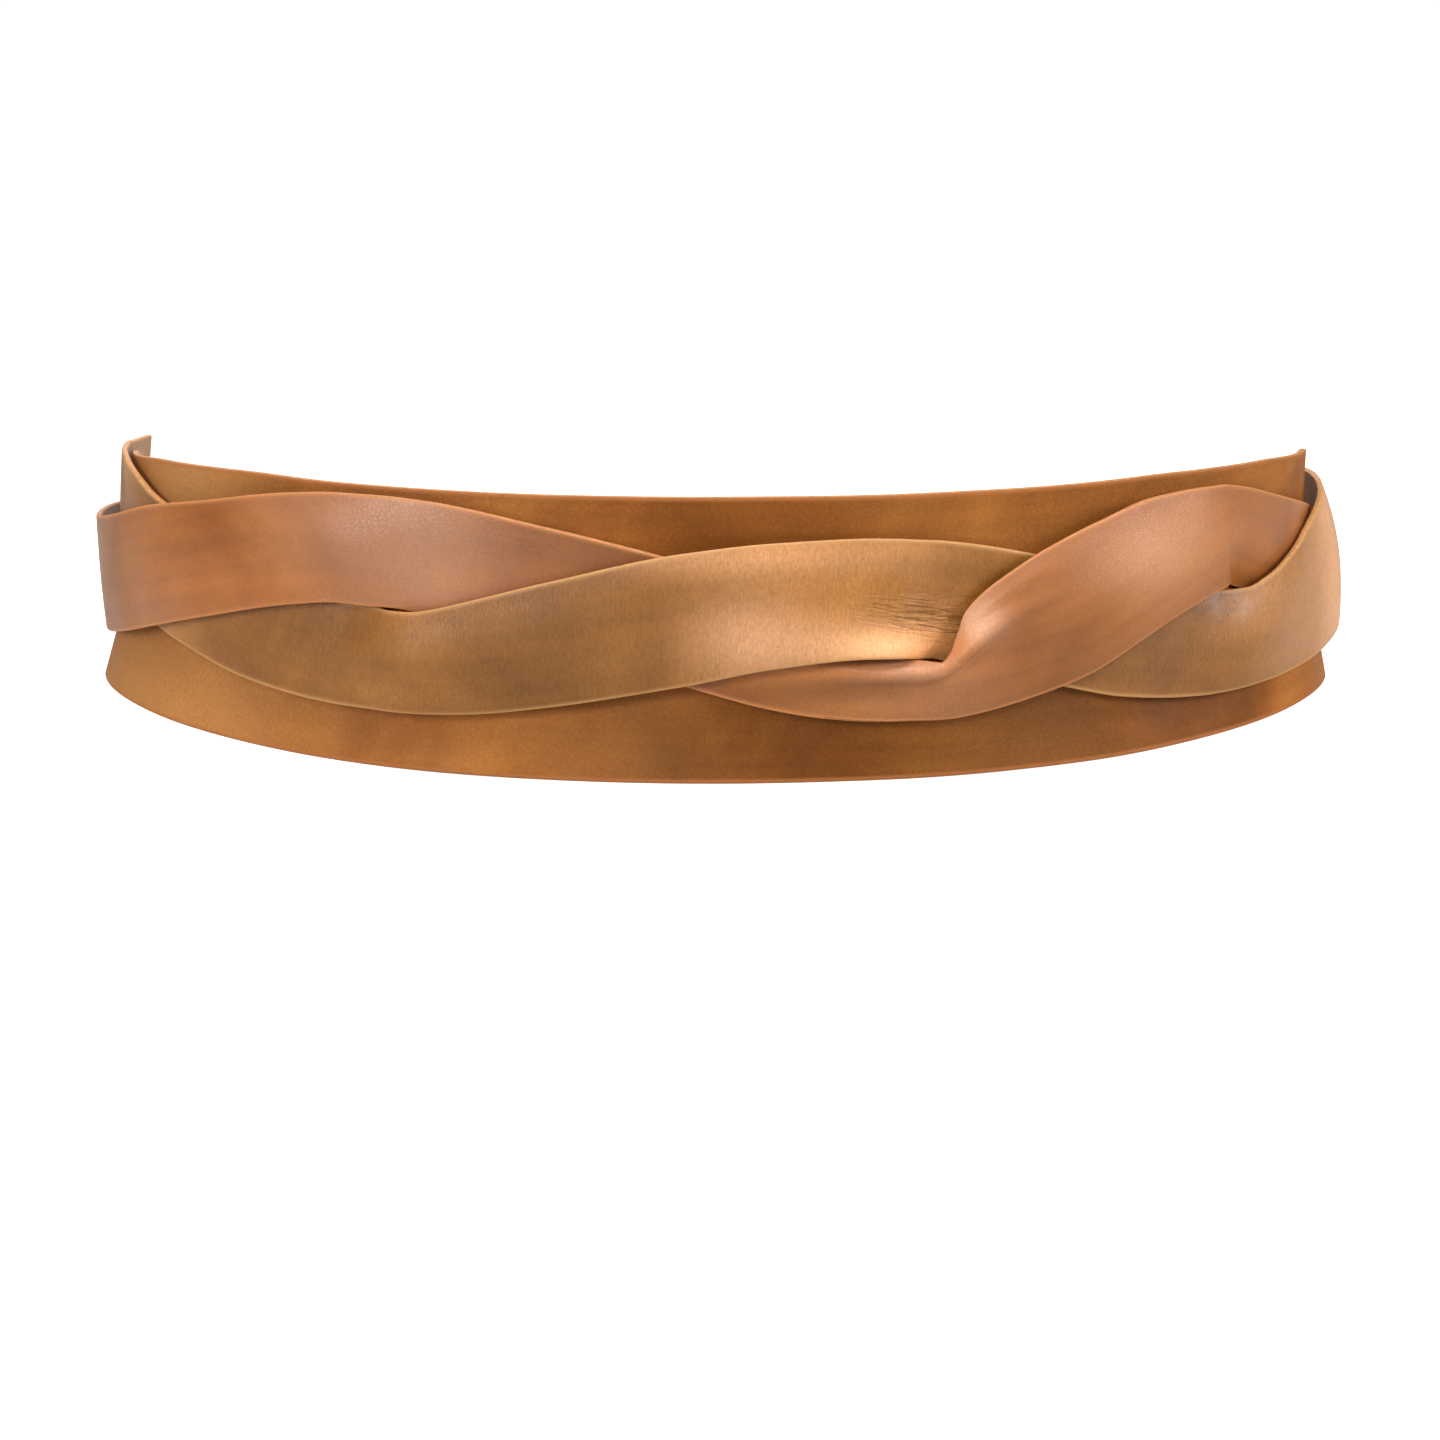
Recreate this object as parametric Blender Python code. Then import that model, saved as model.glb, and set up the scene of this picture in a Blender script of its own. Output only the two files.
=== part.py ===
"""Leather wrap belt: a tall front panel with a long tie sewn to each end.

The ties cross behind the waist, come forward and twist round each other over the panel.
Every shape is described on an upright oval: s is the distance along it from the front
centre (positive towards +X, past the middle of the back beyond half its length), z is the
height and r the distance outwards from it. The belt stands on its lower edge at z = 0.
"""
import math

import bpy
import numpy as np

MM = 0.001

# The oval that the panel's mid-surface follows, in millimetres.
HALF_WIDTH = 141.0
HALF_DEPTH = 94.0

# Leather and thread, in millimetres.
PANEL_THICKNESS = 1.6
TIE_THICKNESS = 1.4
THREAD_RADIUS = 0.3
GAP = 0.3

# Seams: each panel end lies over a tie's root and two upright rows of stitches hold them.
SEAM_ROWS = (217.0, 226.0)
STITCH_COUNT = 6
STITCH_PITCH = 4.2
FIRST_STITCH_Z = 4.6
ROOT_R = -1.8
SLOT_HALF_LENGTH = 1.35
SLOT_HALF_WIDTH = 0.6

# Longest distance between two cross-sections, and strips across a tie and the panel.
SECTION_STEP = 9.0
TIE_STRIPS = 4
PANEL_STRIPS = 7

# The panel flares below this height, and leans in above it as the square of the height.
FLARE_TOP_Z = 30.0
LEAN_HEIGHT = 30.0

# Panel: s, bottom z, top z, how far its lower edge stands out, the power that this flare
# grows with, and how far its upper edge leans in.
PANEL = (
    (-231, 1.0, 29.8, 0.0, 1.0, 0.0),
    (-218, 1.0, 30.0, 0.0, 1.0, 0.0),
    (-211, 1.1, 31.6, 0.7, 1.0, 0.2),
    (-204, 1.6, 36.2, 2.0, 1.0, 1.0),
    (-197, 2.2, 43.2, 3.9, 1.0, 1.9),
    (-189, 2.8, 51.0, 5.6, 1.0, 2.5),
    (-180, 3.6, 56.6, 7.2, 1.0, 2.6),
    (-170, 4.0, 58.0, 7.8, 1.1, 2.4),
    (-155, 3.8, 59.0, 7.5, 1.4, 1.2),
    (-135, 2.8, 60.3, 6.3, 1.8, 0.4),
    (-104, 1.35, 60.7, 4.8, 2.6, 0.0),
    (-84, 0.62, 60.2, 4.4, 2.6, 0.0),
    (-60, 0.18, 59.8, 4.0, 2.6, 0.0),
    (-30, 0.0, 59.6, 3.8, 2.6, 0.0),
    (0, 0.0, 59.6, 3.7, 2.6, 0.0),
    (30, 0.0, 59.6, 3.8, 2.6, 0.0),
    (60, 0.18, 59.8, 4.0, 2.6, 0.0),
    (84, 0.62, 60.2, 4.4, 2.6, 0.0),
    (104, 1.35, 60.7, 4.8, 2.6, 0.0),
    (135, 2.8, 60.5, 6.3, 1.8, 0.0),
    (155, 3.8, 59.5, 7.4, 1.0, 0.0),
    (170, 4.0, 58.8, 7.9, 0.7, 0.0),
    (180, 3.6, 57.0, 7.5, 0.7, 0.0),
    (189, 2.8, 51.0, 6.0, 0.8, 0.0),
    (197, 2.2, 43.2, 4.2, 0.8, 0.0),
    (204, 1.6, 36.2, 2.3, 0.8, 0.0),
    (211, 1.1, 31.6, 0.8, 0.9, 0.0),
    (218, 1.0, 30.0, 0.0, 1.0, 0.0),
    (231, 1.0, 29.8, 0.0, 1.0, 0.0),
)

# Ties: s, lower edge z, upper edge z, lower edge r, upper edge r, how far the middle bows out.
# The right tie runs from the right seam behind the waist to the left side and across the front.
RIGHT_TIE = (
    (-534, 1.0, 29.5, -1.8, -1.8, 0.0),
    (-513, 1.0, 29.5, -1.8, -1.8, 0.0),
    (-500, 0.2, 29.0, -0.6, -0.6, 0.0),
    (-484, -0.6, 28.6, 0.8, 0.8, 0.0),
    (-430, -0.7, 28.3, 1.0, 1.0, 0.0),
    (-373, -0.6, 28.4, 1.0, 1.0, 0.0),
    (-340, 1.0, 29.8, 1.0, 1.0, 0.0),
    (-310, 4.0, 31.0, 1.0, 1.0, 0.0),
    (-290, 8.0, 32.6, 1.0, 1.0, 0.0),
    (-275, 12.6, 34.4, 1.0, 1.0, 0.2),
    (-262, 18.0, 36.4, 1.0, 1.4, 0.8),
    (-257, 20.0, 37.2, 1.4, 1.6, 1.4),
    (-251, 20.6, 37.8, 2.6, 2.2, 2.2),
    (-241, 18.8, 38.2, 4.0, 3.2, 1.8),
    (-228, 16.0, 39.2, 4.6, 4.1, 0.8),
    (-212, 14.6, 40.6, 5.2, 5.3, 0.4),
    (-190, 15.2, 42.6, 6.8, 6.9, 0.2),
    (-168, 16.0, 43.6, 6.8, 7.4, 0.2),
    (-150, 19.2, 46.6, 6.4, 7.6, 0.4),
    (-131, 24.2, 51.4, 5.8, 6.4, 0.6),
    (-115, 28.4, 54.0, 5.6, 5.6, 1.0),
    (-89, 34.3, 57.9, 5.4, 4.2, 2.0),
    (-78, 35.6, 58.5, 5.0, 3.6, 2.4),
    (-72, 35.3, 58.5, 4.6, 3.4, 2.4),
    (-67, 35.1, 58.4, 3.6, 3.2, 2.2),
    (-62, 34.2, 58.1, 2.5, 3.0, 1.8),
    (-55, 32.0, 57.4, 2.2, 2.7, 1.2),
    (-38, 28.4, 54.2, 2.0, 2.4, 0.4),
    (-10, 21.8, 47.7, 2.2, 2.1, 0.0),
    (11, 15.9, 40.0, 3.0, 2.0, 0.2),
    (24, 13.6, 31.5, 3.6, 2.0, 0.6),
    (32, 13.0, 26.6, 4.1, 2.0, 1.0),
    (38, 12.9, 25.6, 4.5, 2.3, 1.4),
    (42, 12.9, 25.4, 4.6, 3.6, 1.4),
    (46, 12.9, 25.3, 4.7, 5.2, 1.4),
    (48.5, 13.0, 27.4, 4.8, 5.8, 1.5),
    (50.5, 13.1, 31.2, 4.8, 6.0, 1.6),
    (52, 13.3, 35.4, 4.8, 6.1, 1.6),
    (55, 13.7, 38.9, 4.8, 6.2, 1.6),
    (60, 14.6, 42.6, 4.8, 6.3, 1.6),
    (69, 16.8, 47.9, 4.8, 6.4, 1.6),
    (80, 20.0, 52.8, 4.8, 6.2, 1.6),
    (94, 26.8, 57.0, 5.0, 5.6, 1.6),
    (106, 32.0, 57.7, 4.9, 4.8, 1.8),
    (114, 34.4, 57.6, 4.7, 4.2, 1.8),
    (119, 34.8, 56.9, 3.5, 3.8, 1.6),
    (124, 33.6, 56.0, 2.4, 3.4, 1.2),
    (131, 31.0, 54.3, 2.2, 3.1, 0.8),
    (142, 26.4, 51.6, 3.3, 2.8, 0.2),
    (160, 20.6, 47.4, 5.5, 2.3, 0.0),
    (178, 15.2, 42.6, 7.4, 2.0, 0.0),
    (190, 12.8, 40.8, 7.1, 2.0, 0.0),
    (198, 11.6, 39.6, 6.3, 2.0, 0.0),
)

# The left tie runs from the left seam behind the waist to the right side and across the front.
LEFT_TIE = (
    (534, 1.0, 29.5, -1.8, -1.8, 0.0),
    (514, 1.0, 29.3, -1.8, -1.8, 0.0),
    (505, 0.2, 24.6, 0.2, 0.0, 1.0),
    (500, -0.3, 20.6, 1.1, 1.0, 2.2),
    (495, -0.6, 18.6, 2.2, 2.2, 3.0),
    (489, -0.7, 19.6, 3.4, 3.6, 2.6),
    (482, -0.7, 22.6, 3.8, 4.2, 1.8),
    (466, -0.7, 27.4, 3.6, 3.8, 0.6),
    (430, -0.7, 28.4, 3.2, 3.2, 0.0),
    (373, -0.7, 28.4, 3.2, 3.2, 0.0),
    (340, 1.0, 29.8, 3.2, 3.2, 0.0),
    (310, 3.8, 32.0, 3.4, 3.4, 0.0),
    (284, 6.8, 35.0, 3.8, 3.6, 0.0),
    (254, 11.4, 39.6, 4.6, 3.8, 0.2),
    (238, 14.2, 42.4, 5.2, 4.0, 0.3),
    (222, 17.0, 45.6, 6.4, 4.2, 0.4),
    (206, 22.0, 49.4, 7.6, 4.4, 1.0),
    (190, 22.4, 51.0, 9.4, 4.4, 1.9),
    (180, 20.6, 50.6, 10.4, 4.5, 1.9),
    (168, 17.4, 48.9, 10.2, 4.6, 1.4),
    (158, 14.8, 46.6, 8.9, 4.8, 1.0),
    (150, 13.3, 43.6, 7.8, 5.0, 1.0),
    (144, 12.5, 40.9, 7.0, 5.4, 1.4),
    (135, 11.9, 37.2, 6.2, 5.6, 2.0),
    (130, 11.7, 35.5, 5.8, 5.4, 2.4),
    (124, 11.5, 33.9, 5.4, 4.7, 2.4),
    (119, 11.4, 33.8, 5.1, 3.5, 2.2),
    (114, 11.4, 34.3, 4.9, 2.4, 1.6),
    (106, 11.8, 34.6, 4.6, 2.0, 0.6),
    (90, 13.7, 39.6, 3.8, 1.9, 0.0),
    (74, 17.7, 44.6, 2.8, 1.9, 0.0),
    (58, 22.0, 48.4, 2.2, 2.2, 0.2),
    (50, 24.0, 49.8, 2.2, 2.6, 0.6),
    (46, 25.4, 50.3, 2.6, 2.8, 1.0),
    (42, 25.9, 50.6, 3.8, 3.0, 1.2),
    (38, 26.4, 50.9, 5.0, 3.1, 1.4),
    (30, 26.7, 51.2, 5.2, 3.4, 1.6),
    (13, 25.1, 50.7, 4.8, 4.4, 1.6),
    (-6, 21.1, 48.6, 4.6, 4.8, 1.6),
    (-32, 16.2, 42.5, 4.6, 5.2, 1.8),
    (-50, 13.6, 37.4, 4.6, 5.2, 2.2),
    (-56, 13.2, 35.7, 4.6, 5.1, 2.4),
    (-62, 12.9, 34.5, 4.5, 4.7, 2.4),
    (-67, 12.8, 34.3, 4.4, 3.6, 2.2),
    (-72, 12.9, 34.9, 4.3, 2.5, 1.6),
    (-78, 13.0, 35.0, 4.3, 2.1, 0.8),
    (-86, 13.4, 38.2, 4.1, 2.0, 0.3),
    (-96, 14.4, 42.0, 3.8, 2.1, 0.0),
    (-109, 16.3, 45.6, 3.4, 2.3, 0.0),
    (-122, 19.2, 48.8, 3.0, 2.5, 0.0),
    (-135, 21.8, 52.6, 2.6, 2.8, 0.0),
    (-148, 25.4, 57.2, 2.4, 2.4, 0.0),
    (-160, 28.4, 59.6, 2.4, 1.2, 0.3),
    (-172, 30.0, 59.8, 2.2, -0.1, 0.7),
    (-184, 30.2, 59.0, 2.0, -0.5, 0.9),
    (-197, 30.2, 58.4, 2.0, 0.2, 0.7),
)

COLOURS = {
    "front_panel": ((0.36, 0.13, 0.045), 0.5),
    "left_tie": ((0.40, 0.19, 0.07), 0.45),
    "right_tie": ((0.45, 0.18, 0.08), 0.4),
    "thread": ((0.30, 0.13, 0.05), 0.7),
}


def oval_table():
    """Angle on the oval for evenly spaced distances along it, over one whole turn."""
    angle = np.linspace(-math.pi, math.pi, 7201)
    speed = np.hypot(HALF_WIDTH * np.cos(angle), HALF_DEPTH * np.sin(angle))
    step = 0.5 * (speed[1:] + speed[:-1]) * np.diff(angle)
    distance = np.concatenate(([0.0], np.cumsum(step)))
    return angle, distance - 0.5 * distance[-1], distance[-1]


ANGLES, DISTANCES, GIRTH = oval_table()


def on_oval(s, z, r):
    """Point in millimetres at distance s along the oval, height z and stand-off r."""
    s = np.asarray(s, float)
    around = (s + 0.5 * GIRTH) % GIRTH - 0.5 * GIRTH
    angle = np.interp(around, DISTANCES, ANGLES)
    nx, ny = np.sin(angle) / HALF_WIDTH, -np.cos(angle) / HALF_DEPTH
    length = np.hypot(nx, ny)
    x = HALF_WIDTH * np.sin(angle) + r * nx / length
    y = -HALF_DEPTH * np.cos(angle) + r * ny / length
    return np.stack([x, y, np.broadcast_to(z, x.shape)], -1)


def through(stations, at):
    """Smooth curves through every column of the stations, without overshoot."""
    table = np.array(sorted(stations), float)
    x, y = table[:, 0], table[:, 1:]
    width = np.diff(x)[:, None]
    slope = np.diff(y, axis=0) / width
    tangent = np.zeros_like(y)
    before, after = slope[:-1], slope[1:]
    same_way = before * after > 0
    mean = 2 * before * after / np.where(same_way, before + after, 1.0)
    tangent[1:-1] = np.where(same_way, mean, 0.0)
    cell = np.clip(np.searchsorted(x, at) - 1, 0, len(x) - 2)
    h = width[cell]
    t = ((at - x[cell])[:, None]) / h
    start, end = y[cell], y[cell + 1]
    return ((2 * t**3 - 3 * t**2 + 1) * start + (t**3 - 2 * t**2 + t) * h * tangent[cell]
            + (3 * t**2 - 2 * t**3) * end + (t**3 - t**2) * h * tangent[cell + 1])


def section_places(stations):
    """Places of the cross-sections: every station, and evenly between distant ones."""
    marks = sorted(station[0] for station in stations)
    places = [marks[0]]
    for start, end in zip(marks, marks[1:]):
        count = max(1, math.ceil((end - start) / SECTION_STEP))
        places.extend(start + (end - start) * (k + 1) / count for k in range(count))
    return np.array(places, float)


def new_material(name):
    colour, roughness = COLOURS[name]
    material = bpy.data.materials.new(name)
    material.use_nodes = True
    shader = material.node_tree.nodes["Principled BSDF"]
    shader.inputs["Base Color"].default_value = (*colour, 1.0)
    shader.inputs["Roughness"].default_value = roughness
    shader.inputs["Metallic"].default_value = 0.0
    return material


def add_object(name, data, material=None):
    obj = bpy.data.objects.new(name, data)
    bpy.context.scene.collection.objects.link(obj)
    if material:
        data.materials.append(material)
    return obj


def sheet_mesh(name, grid):
    """Mesh of one open sheet from a grid of points, sections by rows, faces outwards."""
    rows, columns = grid.shape[:2]
    index = np.arange(rows * columns).reshape(rows, columns)
    quads = np.stack([index[:-1, :-1], index[1:, :-1], index[1:, 1:], index[:-1, 1:]], -1)
    mesh = bpy.data.meshes.new(name)
    mesh.from_pydata((grid.reshape(-1, 3) * MM).tolist(), [], quads.reshape(-1, 4).tolist())
    mesh.shade_smooth()
    return mesh


def solidify(obj, thickness):
    modifier = obj.modifiers.new("leather thickness", "SOLIDIFY")
    modifier.thickness = thickness * MM
    modifier.offset = 0.0
    modifier.use_even_offset = True


def cut(obj, cutter, label):
    modifier = obj.modifiers.new(label, "BOOLEAN")
    modifier.operation = "DIFFERENCE"
    modifier.solver = "EXACT"
    modifier.object = cutter


def hide(cutter):
    cutter.hide_render = True
    cutter.display_type = "WIRE"
    return cutter


def ground_cutter():
    """Block under z = 0 that gives the lower edges their flat resting face."""
    size = 2 * HALF_WIDTH * MM
    low, high = -20 * MM, 0.0
    corners = [(x, y, z) for z in (low, high) for x, y in
               ((-size, -size), (size, -size), (size, size), (-size, size))]
    faces = [(3, 2, 1, 0), (4, 5, 6, 7)]
    faces += [(k, (k + 1) % 4, (k + 1) % 4 + 4, k + 4) for k in range(4)]
    mesh = bpy.data.meshes.new("ground_cutter")
    mesh.from_pydata(corners, [], faces)
    return hide(add_object("ground_cutter", mesh))


def stitch_heights():
    return [FIRST_STITCH_Z + k * STITCH_PITCH for k in range(STITCH_COUNT)]


def slot_cutter(name, side):
    """All the thread slots of one seam: upright eight-sided prisms through both layers."""
    turns = np.arange(8) * math.pi / 4 + math.pi / 8
    radius = 1.0 / math.cos(math.pi / 8)
    across = SLOT_HALF_WIDTH * radius * np.cos(turns)
    along = np.sign(np.sin(turns)) * (SLOT_HALF_LENGTH - SLOT_HALF_WIDTH)
    along = along + SLOT_HALF_WIDTH * radius * np.sin(turns)
    points, faces = [], []
    for row in SEAM_ROWS:
        for height in stitch_heights():
            first = len(points)
            for r in (ROOT_R - 2.0, 2.0):
                points.extend(on_oval(side * row + across, height + along, r).tolist())
            ring = [first + k for k in range(8)]
            faces.append(ring[::-1])
            faces.append([corner + 8 for corner in ring])
            faces += [(ring[k], ring[(k + 1) % 8], ring[(k + 1) % 8] + 8, ring[k] + 8)
                      for k in range(8)]
    mesh = bpy.data.meshes.new(name)
    mesh.from_pydata((np.array(points) * MM).tolist(), [], faces)
    return hide(add_object(name, mesh))


def make_panel(cutters):
    places = section_places(PANEL)
    low, high, flare, power, lean = through(PANEL, places).T
    share = np.linspace(0.0, 1.0, PANEL_STRIPS + 1) ** 1.3
    z = low[:, None] + (high - low)[:, None] * share
    below = np.clip((FLARE_TOP_Z - z) / (FLARE_TOP_Z - low[:, None]), 0.0, 1.0)
    above = np.clip((z - FLARE_TOP_Z) / LEAN_HEIGHT, 0.0, 1.0)
    r = flare[:, None] * below ** power[:, None] - lean[:, None] * above**2
    grid = on_oval(np.broadcast_to(places[:, None], z.shape), z, r)
    panel = add_object("front_panel", sheet_mesh("front_panel", grid), new_material("front_panel"))
    solidify(panel, PANEL_THICKNESS)
    for cutter in cutters:
        cut(panel, cutter, cutter.name)
    return panel


def make_tie(name, stations, cutters):
    places = section_places(stations)
    low, high, low_r, high_r, bow = (column[:, None] for column in through(stations, places).T)
    share = np.linspace(0.0, 1.0, TIE_STRIPS + 1)
    z = low + (high - low) * share
    r = low_r + (high_r - low_r) * share + bow * 4 * share * (1 - share)
    grid = on_oval(np.broadcast_to(places[:, None], z.shape), z, r)
    tie = add_object(name, sheet_mesh(name, grid), new_material(name))
    solidify(tie, TIE_THICKNESS)
    for cutter in cutters:
        cut(tie, cutter, cutter.name)
    return tie


def thread_route(surface_r, inward):
    """Heights and stand-offs of one thread: over each gap, and a dip into each slot."""
    middle = 0.5 * (0.5 * PANEL_THICKNESS + ROOT_R - 0.5 * TIE_THICKNESS)
    lying = surface_r - inward * (GAP + THREAD_RADIUS)
    deepest = middle - inward * (0.5 * GAP + THREAD_RADIUS)
    halfway = deepest - inward * 0.6
    route = []
    for height in stitch_heights():
        route += [(height - 1.0, lying), (height - 0.5, halfway), (height, deepest),
                  (height + 0.5, halfway), (height + 1.0, lying)]
    return route


def make_thread(name, place, surface_r, inward, material):
    route = thread_route(surface_r, inward)
    curve = bpy.data.curves.new(name, "CURVE")
    curve.dimensions = "3D"
    curve.bevel_depth = THREAD_RADIUS * MM
    curve.bevel_resolution = 1
    curve.use_fill_caps = True
    spline = curve.splines.new("POLY")
    spline.points.add(len(route) - 1)
    for point, (height, r) in zip(spline.points, route):
        x, y, z = on_oval(place, height, r) * MM
        point.co = (x, y, z, 1.0)
    return add_object(name, curve, material)


def make_threads():
    """Each row is a lockstitch: a needle thread outside and a bobbin thread inside."""
    threads = []
    outside = 0.5 * PANEL_THICKNESS
    inside = ROOT_R - 0.5 * TIE_THICKNESS
    for side, side_name in ((-1, "left"), (1, "right")):
        for row, row_name in zip(SEAM_ROWS, ("front", "back")):
            for surface_r, inward, kind in ((outside, -1, "needle"), (inside, 1, "bobbin")):
                name = f"{side_name}_seam_{row_name}_row_{kind}_thread"
                material = new_material("thread")
                threads.append(make_thread(name, side * row, surface_r, inward, material))
    return threads


def centre_on_origin(objects):
    """Move every shape together, so that the belt's box is centred over the origin."""
    bpy.context.view_layer.update()
    graph = bpy.context.evaluated_depsgraph_get()
    points = []
    for obj in objects:
        shape = obj.evaluated_get(graph).to_mesh()
        flat = np.empty(len(shape.vertices) * 3, np.float32)
        shape.vertices.foreach_get("co", flat)
        points.append(flat.reshape(-1, 3))
    points = np.concatenate(points)
    middle = 0.5 * (points.min(axis=0) + points.max(axis=0))
    for obj in bpy.context.scene.objects:
        obj.location = (-float(middle[0]), -float(middle[1]), 0.0)


def main():
    for obj in list(bpy.data.objects):
        bpy.data.objects.remove(obj, do_unlink=True)
    ground = ground_cutter()
    left_slots = slot_cutter("left_slot_cutter", -1)
    right_slots = slot_cutter("right_slot_cutter", 1)
    belt = [
        make_panel([ground, left_slots, right_slots]),
        make_tie("left_tie", LEFT_TIE, [ground, left_slots]),
        make_tie("right_tie", RIGHT_TIE, [ground, right_slots]),
    ]
    belt += make_threads()
    centre_on_origin(belt)


main()
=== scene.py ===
import math

import bpy
import numpy as np
from mathutils import Matrix, Vector


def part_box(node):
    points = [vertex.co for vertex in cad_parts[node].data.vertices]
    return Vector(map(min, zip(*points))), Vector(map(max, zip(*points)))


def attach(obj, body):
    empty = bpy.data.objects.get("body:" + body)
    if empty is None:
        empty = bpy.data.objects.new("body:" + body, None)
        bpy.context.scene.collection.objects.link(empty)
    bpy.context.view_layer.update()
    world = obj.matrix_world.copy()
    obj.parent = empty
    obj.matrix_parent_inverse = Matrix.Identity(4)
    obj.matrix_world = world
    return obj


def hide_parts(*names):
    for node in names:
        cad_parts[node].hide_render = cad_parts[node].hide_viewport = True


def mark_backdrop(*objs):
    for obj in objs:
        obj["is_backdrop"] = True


# Leather wrap belt. Shapes are worked out in millimetres on an upright oval: s runs along it
# from the front centre towards +X, z is the height and r the distance outwards from the oval.

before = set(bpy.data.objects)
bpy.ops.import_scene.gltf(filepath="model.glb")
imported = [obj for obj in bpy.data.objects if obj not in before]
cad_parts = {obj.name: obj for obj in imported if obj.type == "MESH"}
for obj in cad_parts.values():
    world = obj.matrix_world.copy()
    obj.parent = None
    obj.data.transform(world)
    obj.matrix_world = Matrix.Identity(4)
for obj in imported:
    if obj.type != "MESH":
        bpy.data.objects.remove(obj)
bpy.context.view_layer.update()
mm = 0.001
print("frame loaded:", len(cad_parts), "nodes")

# half axes of the oval, and how far the lowest edges stay off the floor, mm
waist = {"halfWidth": 141.0, "halfDepth": 94.0, "floorGap": 0.02}


def ovalTable():
    # angle on the oval against the distance walked along it, from the back round to the back
    angle = np.linspace(-math.pi, math.pi, 7201)
    speed = np.hypot(waist["halfWidth"] * np.cos(angle), waist["halfDepth"] * np.sin(angle))
    walked = np.concatenate(([0.0], np.cumsum(0.5 * (speed[1:] + speed[:-1]) * np.diff(angle))))
    return angle, walked - 0.5 * walked[-1], walked[-1]


ovalAngles, ovalDistances, girth = ovalTable()


def onOval(s, z, r):
    # the oval's point at s, moved out along the oval's own normal by r and up by z
    around = (np.asarray(s, float) + 0.5 * girth) % girth - 0.5 * girth
    angle = np.interp(around, ovalDistances, ovalAngles)
    nx, ny = np.sin(angle) / waist["halfWidth"], -np.cos(angle) / waist["halfDepth"]
    length = np.hypot(nx, ny)
    x = waist["halfWidth"] * np.sin(angle) + r * nx / length
    y = -waist["halfDepth"] * np.cos(angle) + r * ny / length
    return np.stack([x, y, np.broadcast_to(z, x.shape)], -1)


def through(stations, at):
    # piecewise cubics through every column of the stations; slopes are the harmonic mean of
    # the two neighbours, so a curve never swings past its stations
    table = np.array(sorted(stations), float)
    x, y = table[:, 0], table[:, 1:]
    width = np.diff(x)[:, None]
    slope = np.diff(y, axis=0) / width
    tangent = np.zeros_like(y)
    before, after = slope[:-1], slope[1:]
    sameWay = before * after > 0
    tangent[1:-1] = np.where(sameWay, 2 * before * after / np.where(sameWay, before + after, 1.0), 0.0)
    cell = np.clip(np.searchsorted(x, at) - 1, 0, len(x) - 2)
    h = width[cell]
    t = np.clip((at - x[cell])[:, None] / h, 0.0, 1.0)
    start, end = y[cell], y[cell + 1]
    return ((2 * t**3 - 3 * t**2 + 1) * start + (t**3 - 2 * t**2 + t) * h * tangent[cell]
            + (3 * t**2 - 2 * t**3) * end + (t**3 - t**2) * h * tangent[cell + 1])


def bump(x, centre, width):
    # bell curve, 1 at the centre
    return np.exp(-((x - centre) / width) ** 2)


def rise(x, start, end):
    # 0 before start, 1 after end, smooth between
    t = np.clip((x - start) / (end - start), 0.0, 1.0)
    return t * t * (3 - 2 * t)


def softWaves(u, v, length, seed, count=7):
    # sum of cos(2 pi (u cos a + v sin a) / wavelength + phase) over random headings a, scaled
    # to about -1 to 1
    dice = np.random.default_rng(seed)
    heading, phase = dice.uniform(0, math.tau, (2, count))
    stretch = dice.uniform(0.7, 1.6, count)
    total = 0.0
    for turn, shift, wide in zip(heading, phase, stretch):
        distance = u * math.cos(turn) + v * math.sin(turn)
        total = total + np.cos(distance * math.tau / (length * wide) + shift)
    return total / math.sqrt(count)


def spots(s, z, table):
    # sum of amount * exp(-((s - place) / length)^2) over the table's rows, each times
    # exp(-((z - height) / tall)^2) where the row goes on with height and tall
    total = 0.0
    for amount, place, length, *upright in table:
        spot = amount * bump(s, place, length)
        total = total + (spot * bump(z, *upright) if upright else spot)
    return total


def placesAlong(first, last, steps):
    # section places from first to last; steps are (s, distance between sections there)
    fine = np.linspace(first, last, 4001)
    table = np.array(sorted(steps), float)
    density = 1.0 / np.interp(fine, table[:, 0], table[:, 1])
    total = np.concatenate(([0.0], np.cumsum(0.5 * (density[1:] + density[:-1]) * np.diff(fine))))
    return np.interp(np.linspace(0, total[-1], math.ceil(total[-1]) + 1), total, fine)


def evenAcross(z, r, count):
    # re-spaces every cross-section's points evenly along its own length
    steps = np.hypot(np.diff(z, axis=1), np.diff(r, axis=1))
    walked = np.concatenate((np.zeros((len(z), 1)), np.cumsum(steps, axis=1)), axis=1)
    share = walked / walked[:, -1:]
    wanted = np.linspace(0.0, 1.0, count)
    cell = (share[:, None, :-1] <= wanted[None, :, None]).sum(2) - 1
    cell = np.clip(cell, 0, share.shape[1] - 2)
    low, high = np.take_along_axis(share, cell, 1), np.take_along_axis(share, cell + 1, 1)
    t = np.clip((wanted[None, :] - low) / np.maximum(high - low, 1e-9), 0.0, 1.0)
    return tuple(np.take_along_axis(a, cell, 1) * (1 - t) + np.take_along_axis(a, cell + 1, 1) * t
                 for a in (z, r))


def unit(v):
    return v / np.maximum(np.linalg.norm(v, axis=-1, keepdims=True), 1e-12)


def surfaceNormals(grid, outward):
    # cross product of the grid's two directions, turned to agree with outward
    normal = unit(np.cross(np.gradient(grid, axis=0), np.gradient(grid, axis=1)))
    return np.where((normal * outward).sum(-1, keepdims=True) < 0, -normal, normal)


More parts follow.
